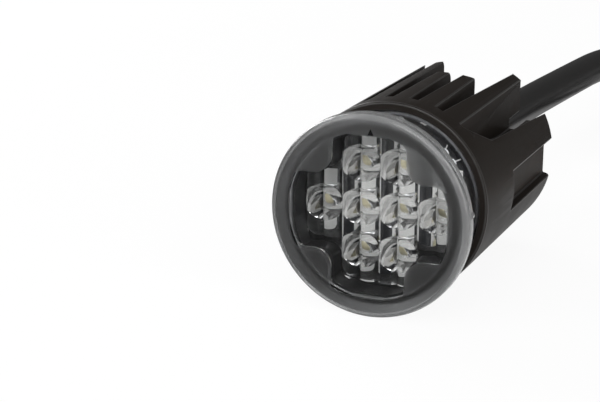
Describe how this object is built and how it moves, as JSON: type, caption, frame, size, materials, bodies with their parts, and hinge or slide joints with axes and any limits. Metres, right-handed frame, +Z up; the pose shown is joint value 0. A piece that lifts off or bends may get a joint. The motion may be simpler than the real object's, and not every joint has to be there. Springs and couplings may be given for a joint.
{
  "type": "strobe lamp",
  "caption": "Round hide-away strobe lamp with a clear flanged lens, fluted collimator optic, finned die-cast housing and a jacketed cable leaving the rear.",
  "frame": {"origin": "on the lamp axis, on the rear face of the lens flange, where the panel or grommet seats", "axes": "+Y along the lamp axis to the rear, so the light leaves along -Y; +Z up, marked by the triangle on the lens; +X to the right as seen from the front"},
  "size_m": [0.1143, 0.1889, 0.038],
  "materials": {
    "housing_black": "matte black coated die casting",
    "lens_clear": "clear polycarbonate, frosted round the window",
    "optic_clear": "clear moulded acrylic",
    "carrier_black": "matte",
    "seal_rubber": "soft silicone",
    "spreader_aluminium": "machined",
    "thermal_pad": "matte silicone pad",
    "led_board": "black solder mask with white print, on an aluminium core",
    "led_package": "white package with a yellow phosphor",
    "screw_steel": "plain steel",
    "solder": "bright solder",
    "driver_board": "green solder mask",
    "component_black": "moulded epoxy",
    "capacitor_can": "bare can",
    "cable_jacket": "smooth black jacket",
    "tie_nylon": "black nylon",
    "core_red": "red insulation",
    "core_black": "black insulation",
    "core_yellow": "yellow insulation",
    "core_white": "white insulation"
  },
  "bodies": {
    "root": {"housing": "housing_black", "lens": "lens_clear", "lens_seal": "seal_rubber", "heat_spreader": "spreader_aluminium", "thermal_pad": "thermal_pad", "led_board": "led_board", "optic_array": "optic_clear", "optic_carrier": "carrier_black", "driver_board": "driver_board", "driver_inductor": "component_black", "driver_capacitor": "capacitor_can", "driver_controller": "component_black", "driver_switch": "component_black", "cable_boot": "seal_rubber", "cable_run": "cable_jacket", "cable_coil": "cable_jacket", "coil_tie": "tie_nylon", "led_1": "led_package", "led_2": "led_package", "led_3": "led_package", "led_4": "led_package", "led_5": "led_package", "led_6": "led_package", "led_7": "led_package", "led_8": "led_package", "carrier_screw_1": "screw_steel", "carrier_screw_2": "screw_steel", "carrier_screw_3": "screw_steel", "lead_positive": "core_red", "lead_negative": "core_black", "solder_positive": "solder", "solder_negative": "solder", "inner_core_red": "core_red", "inner_core_black": "core_black", "inner_core_yellow": "core_yellow", "inner_core_white": "core_white", "end_core_red": "core_red", "end_core_black": "core_black", "end_core_yellow": "core_yellow", "end_core_white": "core_white"}
  },
  "joints": []
}
